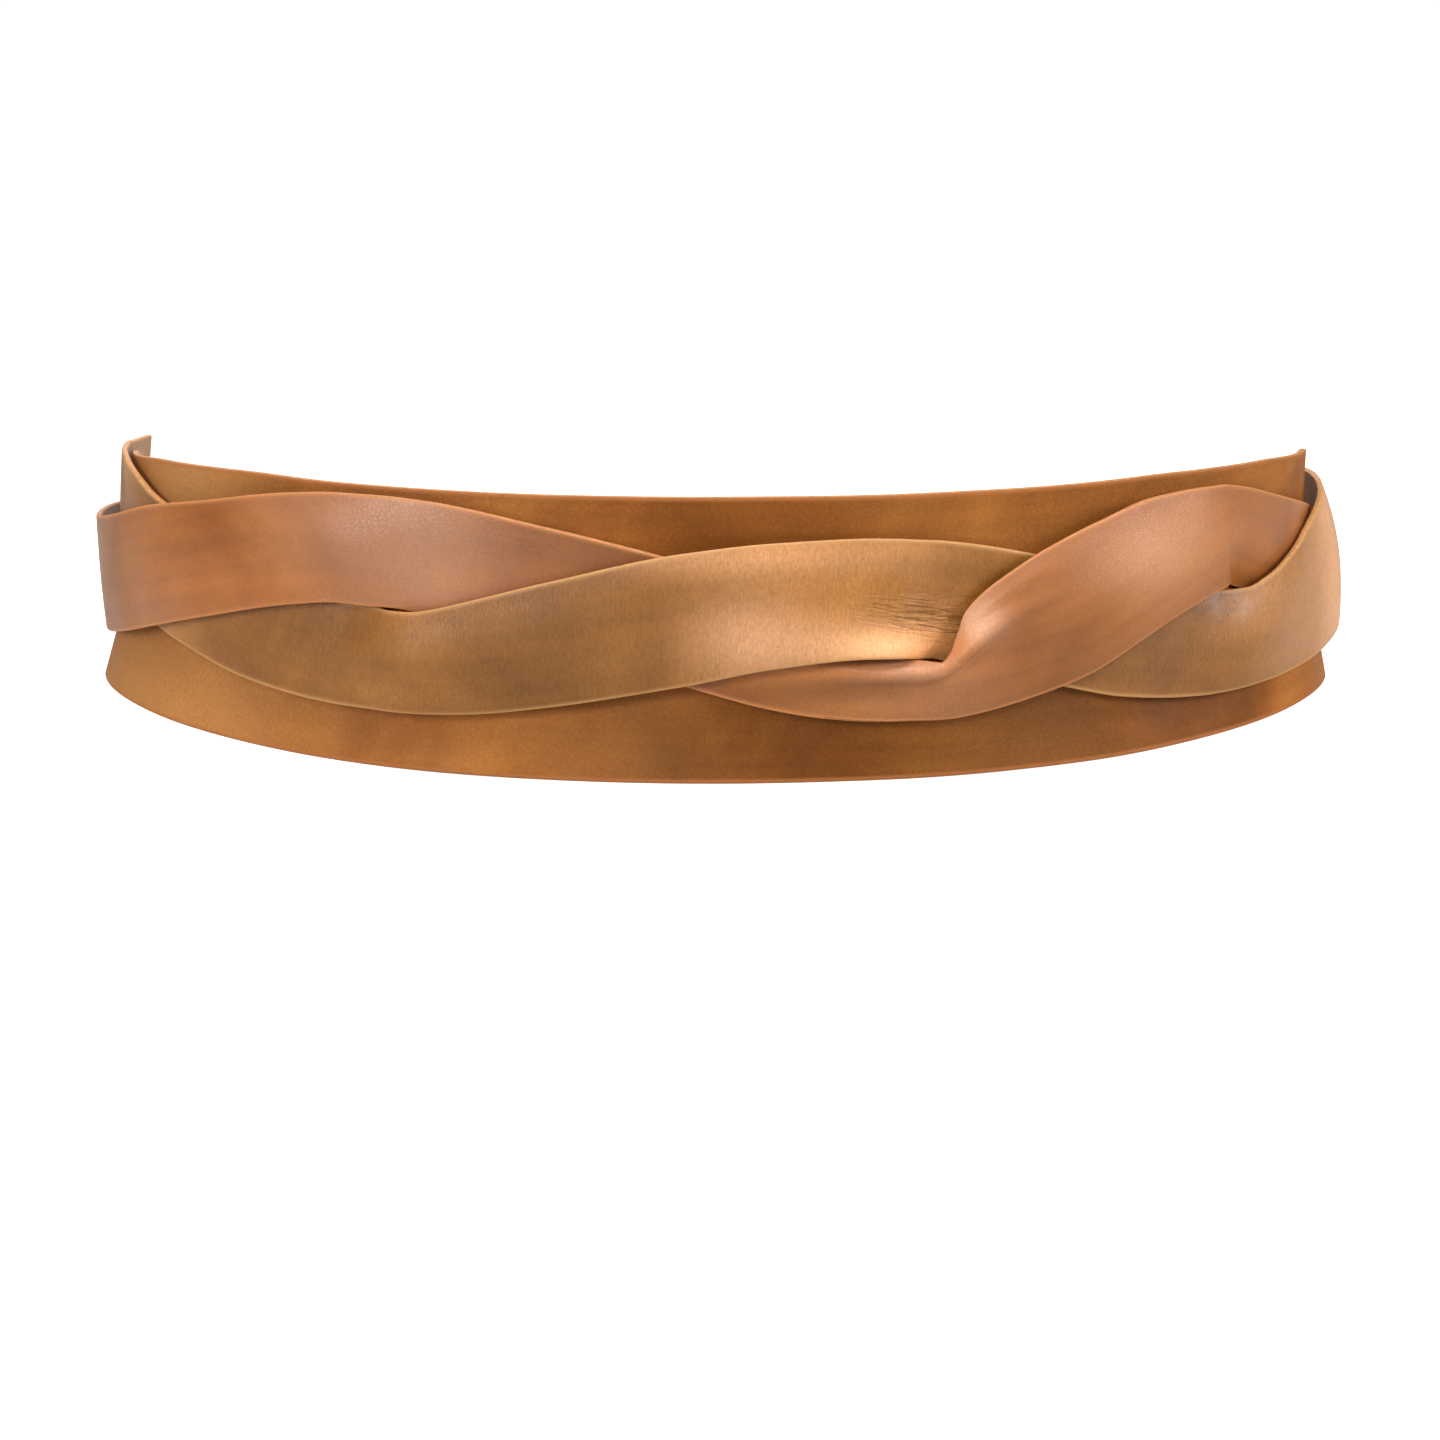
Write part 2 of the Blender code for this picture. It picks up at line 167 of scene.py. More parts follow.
# rounding of the cut edges (mm), and a shift that keeps the flesh side's pattern apart from the
# grain side's
strip = {"cornerRadius": 0.42, "cornerSteps": 4, "fleshShift": 40.0}


def leatherBody(s, grid, thickness):
    # Closed strip round a mid-surface: each section's ring runs up the outer face, round the
    # upper cut edge, down the inner face and round the lower one. At both ends the rings
    # shrink along a quarter circle and are closed by a row of quads.
    corner, steps = strip["cornerRadius"], strip["cornerSteps"]
    outward = onOval(s, 0.0, 1.0) - onOval(s, 0.0, 0.0)
    normal = surfaceNormals(grid, outward[:, None, :])
    up = unit(np.gradient(grid, axis=1))
    along = unit(np.gradient(grid, axis=0))
    turns = np.linspace(0, 0.5 * math.pi, steps + 1)[1:]

    def rings(points, normals, ups, half):
        c = min(corner, half)
        low, high = points[:, :1] + ups[:, :1] * c, points[:, -1:] - ups[:, -1:] * c
        inner = np.concatenate((low, points[:, 1:-1], high), axis=1)
        sine, cosine = (c * np.sin(turns))[None, :, None], (half - c + c * np.cos(turns))[None, :, None]
        top = [high + ups[:, -1:] * sine + side * normals[:, -1:] * cosine for side in (1, -1)]
        foot = [low - ups[:, :1] * sine + side * normals[:, :1] * cosine for side in (1, -1)]
        return np.concatenate((foot[0][:, ::-1], inner + normals * half, top[0], top[1][:, ::-1],
                               (inner - normals * half)[:, ::-1], foot[1]), axis=1)

    half = 0.5 * thickness
    blocks = []
    for end, way in ((0, -1), (-1, 1)):
        pick = slice(0, 1) if end == 0 else slice(-1, None)
        caps = [rings(grid[pick] + way * along[pick] * corner * math.sin(turn), normal[pick], up[pick],
                      half - corner + corner * math.cos(turn)) for turn in turns]
        blocks.append(np.concatenate(caps if way > 0 else caps[::-1]))
    body = np.concatenate((blocks[0], rings(grid, normal, up, half), blocks[1]))
    columns = grid.shape[1]
    sRow = np.concatenate((np.full(steps, s[0]), s, np.full(steps, s[-1])))
    middle = grid[:, columns // 2]
    run = np.concatenate(([0.0], np.cumsum(np.linalg.norm(np.diff(middle, axis=0), axis=1))))
    runRow = np.concatenate((np.full(steps, run[0]), run, np.full(steps, run[-1])))
    widths = np.concatenate((np.zeros((len(s), 1)),
                             np.cumsum(np.linalg.norm(np.diff(grid, axis=1), axis=2), axis=1)), axis=1)
    widths = np.concatenate((np.repeat(widths[:1], steps, 0), widths, np.repeat(widths[-1:], steps, 0)))
    lowSide, highSide = np.repeat(widths[:, :1], steps, 1), np.repeat(widths[:, -1:], steps, 1)
    across = np.concatenate((lowSide, widths, highSide, highSide, widths[:, ::-1], lowSide), axis=1)
    total = widths[:, -1:]
    gap = np.minimum(across, total - across)
    fleshSide = np.arange(body.shape[1]) >= body.shape[1] // 2
    flat = np.stack([np.broadcast_to(runRow[:, None], across.shape), across,
                     np.broadcast_to(fleshSide * strip["fleshShift"], across.shape)], -1)
    return body, flat, gap, sRow


def onGrainSide(flat):
    return flat[..., 2] < 0.5 * strip["fleshShift"]


def leatherMesh(name, s, grid, thickness, fields):
    # mesh with three material slots: grain side, cut edges, flesh side; the grain side takes in
    # half of each rounded corner
    body, flat, gap, sRow = leatherBody(s, grid, thickness)
    rows, ring = body.shape[:2]
    columns, steps = grid.shape[1], strip["cornerSteps"]
    index = np.arange(rows * ring).reshape(rows, ring)
    nextColumn = np.roll(index, -1, axis=1)
    quads = np.stack([index[:-1], index[1:], nextColumn[1:], nextColumn[:-1]], -1)
    place = np.arange(ring)
    grainStart, grainEnd = steps - 2, steps + columns + 1
    slot = np.full(ring, 1)
    slot[(place >= grainStart) & (place < grainEnd)] = 0
    slot[(place >= 3 * steps + columns - 1) & (place < 3 * steps + 2 * columns)] = 2
    slots = np.broadcast_to(slot, quads.shape[:2]).copy()
    slots[:steps], slots[-steps:] = 1, 1
    pair = np.arange(ring // 2 - 1)
    firstCap = np.stack([index[0, pair], index[0, pair + 1], index[0, ring - 2 - pair],
                         index[0, ring - 1 - pair]], -1)
    lastCap = np.stack([index[-1, pair], index[-1, ring - 1 - pair], index[-1, ring - 2 - pair],
                        index[-1, pair + 1]], -1)
    faces = np.concatenate((quads.reshape(-1, 4), firstCap, lastCap))
    slots = np.concatenate((slots.ravel(), np.ones(2 * len(pair), int)))
    mesh = bpy.data.meshes.new(name)
    mesh.from_pydata((body.reshape(-1, 3) * mm).tolist(), [], faces.tolist())
    mesh.polygons.foreach_set("material_index", slots.astype(np.int32))
    mesh.shade_smooth()
    mesh.attributes.new("flat", "FLOAT_VECTOR", "POINT").data.foreach_set("vector", flat.ravel())
    mesh.attributes.new("edgeGap", "FLOAT", "POINT").data.foreach_set("value", gap.ravel())
    for field, values in fields(sRow[:, None], body[..., 2], flat).items():
        kind = "FLOAT_VECTOR" if values.ndim == 3 else "FLOAT"
        layer = mesh.attributes.new(field, kind, "POINT")
        layer.data.foreach_set("vector" if values.ndim == 3 else "value", values.ravel())
    return mesh


def addPiece(name, mesh, materials):
    obj = bpy.data.objects.new(name, mesh)
    bpy.context.scene.collection.objects.link(obj)
    for material in materials:
        mesh.materials.append(material)
    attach(obj, "root")
    return obj


def linear(code):
    # sRGB hex to linear red, green, blue and alpha
    parts = [int(code[k:k + 2], 16) / 255 for k in (0, 2, 4)]
    return (*(p / 12.92 if p <= 0.04045 else ((p + 0.055) / 1.055) ** 2.4 for p in parts), 1.0)


def addNode(tree, kind, inputs=None, stops=None, **settings):
    # inputs hold plain values, or other nodes' output sockets to link from
    node = tree.nodes.new(kind)
    for name, value in settings.items():
        setattr(node, name, value)
    for name, value in (inputs or {}).items():
        if isinstance(value, bpy.types.NodeSocket):
            tree.links.new(value, node.inputs[name])
        else:
            node.inputs[name].default_value = value
    if stops:
        elements = node.color_ramp.elements
        for _ in range(len(stops) - len(elements)):
            elements.new(0.5)
        for element, (position, colour) in zip(elements, stops):
            element.position, element.color = position, colour
    return node


def newMaterial(name, **sockets):
    # constant values go straight on the shader's own sockets
    material = bpy.data.materials.new(name)
    material.use_nodes = True
    tree = material.node_tree
    shader = tree.nodes["Principled BSDF"]
    for socket, value in sockets.items():
        shader.inputs[socket].default_value = value
    return material, tree, shader


def grey(value):
    return (value, value, value, 1.0)


# colours of the dye from light to dark, of the rosy tone and painted sheen, paler rims and cut edges; grain
# size, stretch across the strap and depth (mm); mottle is the size of the dye clouds (mm)
panelGrain = {
    "light": "AC6B2D", "middle": "915421", "dark": "7A4618", "toneAndSheen": "C08A52", "edge": "A8683A",
    "edges": ("9A6434", "B67E49", "C99860"),
    "grainWidth": 0.95, "grainStretch": 1.3, "grainDepth": 0.09, "fibre": 0.45, "grooveShade": 0.80,
    "roughness": (0.46, 0.60), "mottle": 34.0, "specular": 0.12}
leftGrain = {
    "light": "C0803E", "middle": "A0672B", "dark": "84501D", "toneAndSheen": "DCA274", "edge": "C3915A",
    "edges": ("A8703F", "C68D55", "D9A468"),
    "grainWidth": 0.62, "grainStretch": 3.6, "grainDepth": 0.11, "fibre": 0.7, "grooveShade": 0.62,
    "roughness": (0.35, 0.47), "mottle": 42.0, "specular": 0.42}
rightGrain = {
    "light": "BD783E", "middle": "A5622D", "dark": "85491D", "toneAndSheen": "D8A07C", "edge": "C6824C",
    "edges": ("9C5E31", "BD7C48", "CF9260"),
    "grainWidth": 0.95, "grainStretch": 1.2, "grainDepth": 0.06, "fibre": 0.35, "grooveShade": 0.88,
    "roughness": (0.33, 0.44), "mottle": 48.0, "specular": 0.44}


def grainLeather(name, look):
    # Vegetable-tanned full-grain cowhide, drum-dyed tan and hand-waxed: the eye gets a soft
    # satin sheen, cloudy dye, fine pores and creases, and a paler line along the edges. Painted
    # sheen, painted light and shade, and painted shade in the wrinkles come from the piece's fields.
    material, tree, shader = newMaterial(
        name, **{"IOR": 1.45, "Metallic": 0.0, "Specular IOR Level": look["specular"]})
    flat = addNode(tree, "ShaderNodeAttribute", attribute_name="flat").outputs["Vector"]
    edgeGap = addNode(tree, "ShaderNodeAttribute", attribute_name="edgeGap").outputs["Fac"]
    # share towards the tint colour: rosy tone with painted sheen and highlights
    rosySheenShare = addNode(tree, "ShaderNodeAttribute", attribute_name="rosySheenShare").outputs["Fac"]
    # factor of painted light and shade on the colour
    paintedLightAndShade = addNode(tree, "ShaderNodeAttribute", attribute_name="paintedLightAndShade").outputs["Fac"]
    wrinkle = addNode(tree, "ShaderNodeAttribute", attribute_name="wrinkle").outputs["Vector"]

    # cloudy dye, over tens of millimetres, with slow streaks along the strap
    clouds = addNode(tree, "ShaderNodeTexNoise", {
        "Vector": flat, "Scale": 1 / look["mottle"], "Detail": 3.0, "Roughness": 0.55, "Distortion": 0.6})
    colour = addNode(tree, "ShaderNodeValToRGB", {"Fac": clouds.outputs["Fac"]}, stops=[
        (0.28, linear(look["dark"])), (0.50, linear(look["middle"])), (0.74, linear(look["light"]))])
    stretched = addNode(tree, "ShaderNodeMapping", {"Vector": flat, "Scale": (1 / 60, 1 / 3.0, 1)})
    streaks = addNode(tree, "ShaderNodeTexNoise", {
        "Vector": stretched.outputs["Vector"], "Scale": 1.0, "Detail": 2.0, "Roughness": 0.5})
    streakColour = addNode(tree, "ShaderNodeValToRGB", {"Fac": streaks.outputs["Fac"]}, stops=[
        (0.30, grey(0.90)), (0.55, grey(1.0)), (0.75, (1.07, 1.04, 1.0, 1.0))])
    streaked = addNode(tree, "ShaderNodeMix", {
        0: 1.0, 6: colour.outputs["Color"], 7: streakColour.outputs["Color"]},
        data_type="RGBA", blend_type="MULTIPLY")

    # rosy and ochre tone, and painted highlights and sheen, come and go along the piece, as its own field
    # says
    toneAndSheen = addNode(tree, "ShaderNodeMapRange", {"Value": rosySheenShare, "From Min": 0.0, "From Max": 1.0})
    withSheen = addNode(tree, "ShaderNodeMix", {
        0: toneAndSheen.outputs["Result"], 6: streaked.outputs[2], 7: linear(look["toneAndSheen"])}, data_type="RGBA")

    # the grain: short creases across the strap and round pores
    grainSpace = addNode(tree, "ShaderNodeMapping", {
        "Vector": flat,
        "Scale": (1 / look["grainWidth"], 1 / (look["grainWidth"] * look["grainStretch"]), 1)})
    creases = addNode(tree, "ShaderNodeTexVoronoi", {
        "Vector": grainSpace.outputs["Vector"], "Scale": 1.0, "Randomness": 1.0},
        feature="DISTANCE_TO_EDGE")
    fibres = addNode(tree, "ShaderNodeTexNoise", {
        "Vector": grainSpace.outputs["Vector"], "Scale": 0.9, "Detail": 5.0, "Roughness": 0.62,
        "Distortion": 0.8})
    pores = addNode(tree, "ShaderNodeTexNoise", {"Vector": flat, "Scale": 1 / 0.55, "Detail": 1.0})
    patch = addNode(tree, "ShaderNodeTexNoise", {"Vector": flat, "Scale": 1 / 17.0, "Detail": 2.0})
    where = addNode(tree, "ShaderNodeMapRange", {
        "Value": patch.outputs["Fac"], "From Min": 0.38, "From Max": 0.62, "To Min": 0.25, "To Max": 1.0})
    creaseRamp = addNode(tree, "ShaderNodeValToRGB", {"Fac": creases.outputs["Distance"]}, stops=[
        (0.0, grey(0.0)), (0.10, grey(0.75)), (0.30, grey(1.0))])
    poreRamp = addNode(tree, "ShaderNodeValToRGB", {"Fac": pores.outputs["Fac"]}, stops=[
        (0.26, grey(0.0)), (0.36, grey(1.0))])
    creaseFibre = addNode(tree, "ShaderNodeMix", {
        0: look["fibre"], 2: creaseRamp.outputs["Color"], 3: fibres.outputs["Fac"]}, data_type="FLOAT")
    grainHeight = addNode(tree, "ShaderNodeMath", {
        0: creaseFibre.outputs[0], 1: poreRamp.outputs["Color"]}, operation="MULTIPLY")

    # fine wrinkles run into the pinch: the wrinkle field holds the places across and along
    # them, and their strength
    wrinkleParts = addNode(tree, "ShaderNodeSeparateXYZ", {"Vector": wrinkle})
    wrinkleSpace = addNode(tree, "ShaderNodeCombineXYZ", {
        "X": wrinkleParts.outputs["X"], "Y": wrinkleParts.outputs["Y"]})
    wrinkles = addNode(tree, "ShaderNodeTexNoise", {
        "Vector": wrinkleSpace.outputs["Vector"], "Scale": 1.0, "Detail": 2.0, "Roughness": 0.5,
        "Distortion": 0.5})
    wrinkleRamp = addNode(tree, "ShaderNodeValToRGB", {"Fac": wrinkles.outputs["Fac"]}, stops=[
        (0.30, grey(0.0)), (0.50, grey(0.8)), (0.66, grey(1.0))])
    grainMasked = addNode(tree, "ShaderNodeMath", {
        0: grainHeight.outputs["Value"], 1: where.outputs["Result"]}, operation="MULTIPLY")
    grainBump = addNode(tree, "ShaderNodeBump", {
        "Height": grainMasked.outputs["Value"], "Strength": 1.0, "Distance": look["grainDepth"] * mm})
    wrinkleHeight = addNode(tree, "ShaderNodeMath", {
        0: wrinkleRamp.outputs["Color"], 1: wrinkleParts.outputs["Z"]}, operation="MULTIPLY")
    wrinkleBump = addNode(tree, "ShaderNodeBump", {
        "Height": wrinkleHeight.outputs["Value"], "Strength": 1.0, "Distance": 0.6 * mm,
        "Normal": grainBump.outputs["Normal"]})
    tree.links.new(wrinkleBump.outputs["Normal"], shader.inputs["Normal"])

    # darker in the grain's grooves; painted shade in the wrinkles' grooves; the field's painted light and
    # shade multiplies in
    groove = addNode(tree, "ShaderNodeMapRange", {
        "Value": grainHeight.outputs["Value"], "From Min": 0.10, "From Max": 0.80,
        "To Min": look["grooveShade"], "To Max": 1.03})
    wrinkleDark = addNode(tree, "ShaderNodeMapRange", {
        "Value": wrinkles.outputs["Fac"], "From Min": 0.32, "From Max": 0.48, "To Min": 1.0, "To Max": 0.0})
    wrinkleShade = addNode(tree, "ShaderNodeMath", {
        0: wrinkleDark.outputs["Result"], 1: wrinkleParts.outputs["Z"]}, operation="MULTIPLY")
    wrinkleFactor = addNode(tree, "ShaderNodeMapRange", {
        "Value": wrinkleShade.outputs["Value"], "To Min": 1.0, "To Max": 0.72})
    grooved = addNode(tree, "ShaderNodeMath", {
        0: groove.outputs["Result"], 1: wrinkleFactor.outputs["Result"]}, operation="MULTIPLY")
    darkening = addNode(tree, "ShaderNodeMath", {0: grooved.outputs["Value"], 1: paintedLightAndShade}, operation="MULTIPLY")
    shadedColour = addNode(tree, "ShaderNodeMix", {
        0: 1.0, 6: withSheen.outputs[2], 7: darkening.outputs["Value"]}, data_type="RGBA", blend_type="MULTIPLY")

    # paler within about 1.3 mm of the cut edges
    nearEdge = addNode(tree, "ShaderNodeMapRange", {
        "Value": edgeGap, "From Min": 0.0, "From Max": 1.3, "To Min": 0.75, "To Max": 0.0},
        interpolation_type="SMOOTHSTEP")
    paledAtEdges = addNode(tree, "ShaderNodeMix", {
        0: nearEdge.outputs["Result"], 6: shadedColour.outputs[2], 7: linear(look["edge"])}, data_type="RGBA")
    tree.links.new(paledAtEdges.outputs[2], shader.inputs["Base Color"])

    roughness = addNode(tree, "ShaderNodeMapRange", {
        "Value": patch.outputs["Fac"], "From Min": 0.3, "From Max": 0.7,
        "To Min": look["roughness"][0], "To Max": look["roughness"][1]})
    tree.links.new(roughness.outputs["Result"], shader.inputs["Roughness"])
    return material


def cutEdgeLeather(name, dark, middle, light):
    # Knife-cut edge of the same hide, lightly burnished: a paler line than the grain side,
    # with fine layers running along it.
    material, tree, shader = newMaterial(name, **{"IOR": 1.45, "Metallic": 0.0})
    flat = addNode(tree, "ShaderNodeAttribute", attribute_name="flat").outputs["Vector"]
    layers = addNode(tree, "ShaderNodeTexNoise", {"Vector": flat, "Scale": 1 / 1.4, "Detail": 4.0})
    colour = addNode(tree, "ShaderNodeValToRGB", {"Fac": layers.outputs["Fac"]}, stops=[
        (0.30, linear(dark)), (0.55, linear(middle)), (0.75, linear(light))])
    tree.links.new(colour.outputs["Color"], shader.inputs["Base Color"])
    fuzz = addNode(tree, "ShaderNodeTexNoise", {"Vector": flat, "Scale": 1 / 0.3, "Detail": 3.0})
    relief = addNode(tree, "ShaderNodeBump", {
        "Height": fuzz.outputs["Fac"], "Strength": 0.8, "Distance": 0.05 * mm})
    tree.links.new(relief.outputs["Normal"], shader.inputs["Normal"])
    roughness = addNode(tree, "ShaderNodeMapRange", {
        "Value": layers.outputs["Fac"], "To Min": 0.45, "To Max": 0.7})
    tree.links.new(roughness.outputs["Result"], shader.inputs["Roughness"])
    return material


def fleshLeather():
    # Flesh side of the hide, split and buffed to a short nap: matt, pale tan and fibrous.
    material, tree, shader = newMaterial(
        "buffedFleshSide", **{"IOR": 1.45, "Metallic": 0.0, "Sheen Weight": 0.35, "Sheen Roughness": 0.5})
    flat = addNode(tree, "ShaderNodeAttribute", attribute_name="flat").outputs["Vector"]
    clouds = addNode(tree, "ShaderNodeTexNoise", {"Vector": flat, "Scale": 1 / 22.0, "Detail": 4.0})
    fibre = addNode(tree, "ShaderNodeTexNoise", {
        "Vector": flat, "Scale": 1 / 0.7, "Detail": 6.0, "Roughness": 0.7, "Distortion": 1.5})
    colour = addNode(tree, "ShaderNodeValToRGB", {"Fac": clouds.outputs["Fac"]}, stops=[
        (0.25, linear("B08154")), (0.75, linear("BF9162"))])
    nap = addNode(tree, "ShaderNodeMapRange", {
        "Value": fibre.outputs["Fac"], "From Min": 0.3, "From Max": 0.7, "To Min": 0.78, "To Max": 1.1})
    tinted = addNode(tree, "ShaderNodeMix", {
        0: 1.0, 6: colour.outputs["Color"], 7: nap.outputs["Result"]},
        data_type="RGBA", blend_type="MULTIPLY")
    tree.links.new(tinted.outputs[2], shader.inputs["Base Color"])
    relief = addNode(tree, "ShaderNodeBump", {
        "Height": fibre.outputs["Fac"], "Strength": 1.0, "Distance": 0.12 * mm})
    tree.links.new(relief.outputs["Normal"], shader.inputs["Normal"])
    roughness = addNode(tree, "ShaderNodeMapRange", {
        "Value": fibre.outputs["Fac"], "To Min": 0.72, "To Max": 0.95})
    tree.links.new(roughness.outputs["Result"], shader.inputs["Roughness"])
    return material


def waxedThread():
    # Waxed three-ply linen thread: dull brown with a slight shine on the plies' crowns.
    material, tree, shader = newMaterial(
        "waxedLinenThread", **{"IOR": 1.5, "Metallic": 0.0, "Sheen Weight": 0.2})
    place = addNode(tree, "ShaderNodeTexCoord").outputs["Object"]
    strands = addNode(tree, "ShaderNodeTexNoise", {
        "Vector": place, "Scale": 1 / (0.12 * mm), "Detail": 3.0})
    colour = addNode(tree, "ShaderNodeValToRGB", {"Fac": strands.outputs["Fac"]}, stops=[
        (0.3, linear("6E431F")), (0.7, linear("A26E3C"))])
    tree.links.new(colour.outputs["Color"], shader.inputs["Base Color"])
    roughness = addNode(tree, "ShaderNodeMapRange", {
        "Value": strands.outputs["Fac"], "To Min": 0.45, "To Max": 0.7})
    tree.links.new(roughness.outputs["Result"], shader.inputs["Roughness"])
    return material


buffedFlesh = fleshLeather()
print("leather materials ready")


panel = {"thickness": 1.6, "flareTop": 30.0, "leanHeight": 30.0, "columns": 60, "wave": 0.16,
         "end": 231, "sectionStep": 0.9}
# s, bottom z, top z, how far the lower edge stands out, power of that flare (low where the
# side bulges, high where only the hem kicks out), how far the upper edge leans in
panelStations = (
    (-231, 1.0, 29.8, 0.0, 1.0, 0.0), (-218, 1.0, 30.0, 0.0, 1.0, 0.0), (-211, 1.1, 31.6, 0.7, 1.0, 0.2),
    (-204, 1.6, 36.2, 2.0, 1.0, 1.0), (-197, 2.2, 43.2, 3.9, 1.0, 1.9), (-189, 2.8, 51.0, 5.6, 1.0, 2.5),
    (-180, 3.6, 56.6, 7.2, 1.0, 2.6), (-170, 4.0, 58.0, 7.8, 1.1, 2.4), (-155, 3.8, 59.0, 7.5, 1.4, 1.2),
    (-135, 2.8, 60.3, 6.3, 1.8, 0.4), (-104, 1.35, 60.7, 4.8, 2.6, 0.0), (-84, 0.62, 60.2, 4.4, 2.6, 0.0),
    (-60, 0.18, 59.8, 4.0, 2.6, 0.0), (-30, 0.0, 59.6, 3.8, 2.6, 0.0), (0, 0.0, 59.6, 3.7, 2.6, 0.0),
    (30, 0.0, 59.6, 3.8, 2.6, 0.0), (60, 0.18, 59.8, 4.0, 2.6, 0.0), (84, 0.62, 60.2, 4.4, 2.6, 0.0),
    (104, 1.35, 60.7, 4.8, 2.6, 0.0), (135, 2.8, 60.5, 6.3, 1.8, 0.0), (155, 3.8, 59.5, 7.4, 1.0, 0.0),
    (170, 4.0, 58.8, 7.9, 0.7, 0.0), (180, 3.6, 57.0, 7.5, 0.7, 0.0), (189, 2.8, 51.0, 6.0, 0.8, 0.0),
    (197, 2.2, 43.2, 4.2, 0.8, 0.0), (204, 1.6, 36.2, 2.3, 0.8, 0.0), (211, 1.1, 31.6, 0.8, 0.9, 0.0),
    (218, 1.0, 30.0, 0.0, 1.0, 0.0), (231, 1.0, 29.8, 0.0, 1.0, 0.0))


def panelSurface(s):
    # r = flare * below^power - lean * above^2, where below and above are the shares of the way
    # from flareTop to the lower edge and up over leanHeight; slow waves keep it from looking flat
    low, high, flare, power, lean = (part[:, None] for part in through(panelStations, s).T)
    low = np.maximum(low, waist["floorGap"])
    share = np.linspace(0.0, 1.0, panel["columns"])[None, :]
    z = low + (high - low) * share
    below = np.clip((panel["flareTop"] - z) / (panel["flareTop"] - low), 0.0, 1.0)
    above = np.clip((z - panel["flareTop"]) / panel["leanHeight"], 0.0, 1.0)
    r = flare * below ** power - lean * above ** 2
    r = r + panel["wave"] * softWaves(s[:, None], z, 38.0, 5) * bump(s[:, None], 0, 190)
    return onOval(np.broadcast_to(s[:, None], z.shape), z, r)


# painted light and shade on the hem and on the part above it: darker or lighter by amount, at s, over width
hemLightAndShade = ((-0.42, 26, 50), (-0.2, 92, 35), (0.08, -100, 40), (0.3, 148, 22))
upperLightAndShade = ((-0.1, 60, 50), (0.1, -185, 40), (0.1, 165, 40))


def panelFields(s, z, flat):
    outer = onGrainSide(flat)
    hem = 1 - rise(z, 14.0, 30.0)
    toneAndSheen = 0.04 + 0.1 * softWaves(flat[..., 0], flat[..., 1], 70.0, 11)
    # painted sheen where light falls on the left end's hem and upper part
    toneAndSheen = toneAndSheen + 0.5 * bump(s, -130, 50) * hem + 0.7 * bump(s, -125, 26) * rise(z, 34, 46)
    # painted light and shade: darker hem in the middle, lighter towards the ends
    paintedLightAndShade = 1.0 + spots(s, z, hemLightAndShade) * hem + spots(s, z, upperLightAndShade) * (1 - hem)
    return {"rosySheenShare": np.clip(toneAndSheen, 0, 0.7) * outer, "paintedLightAndShade": np.where(outer, paintedLightAndShade, 1.0),
            "wrinkle": np.zeros(flat.shape)}


panelS = placesAlong(-panel["end"], panel["end"], [(0, panel["sectionStep"])])
panelGrid = panelSurface(panelS)
low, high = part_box("front_panel")
centre = 0.5 * (np.array(low) + np.array(high)) / mm
own = panelGrid.reshape(-1, 3)
ovalShift = centre - 0.5 * (own.min(0) + own.max(0))
ovalShift[2] = 0.0
print("oval centre, mm:", ovalShift.round(2))

panelPiece = addPiece("front_panel_leather", leatherMesh(
    "front_panel_leather", panelS, panelGrid + ovalShift, panel["thickness"], panelFields),
    [grainLeather("vegetableTannedPanel", panelGrain),
     cutEdgeLeather("burnishedPanelEdge", *panelGrain["edges"]), buffedFlesh])
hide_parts("front_panel")
print("panel done")

tie = {"thickness": 1.4, "columns": 46, "fineColumns": 161, "wave": 0.14}
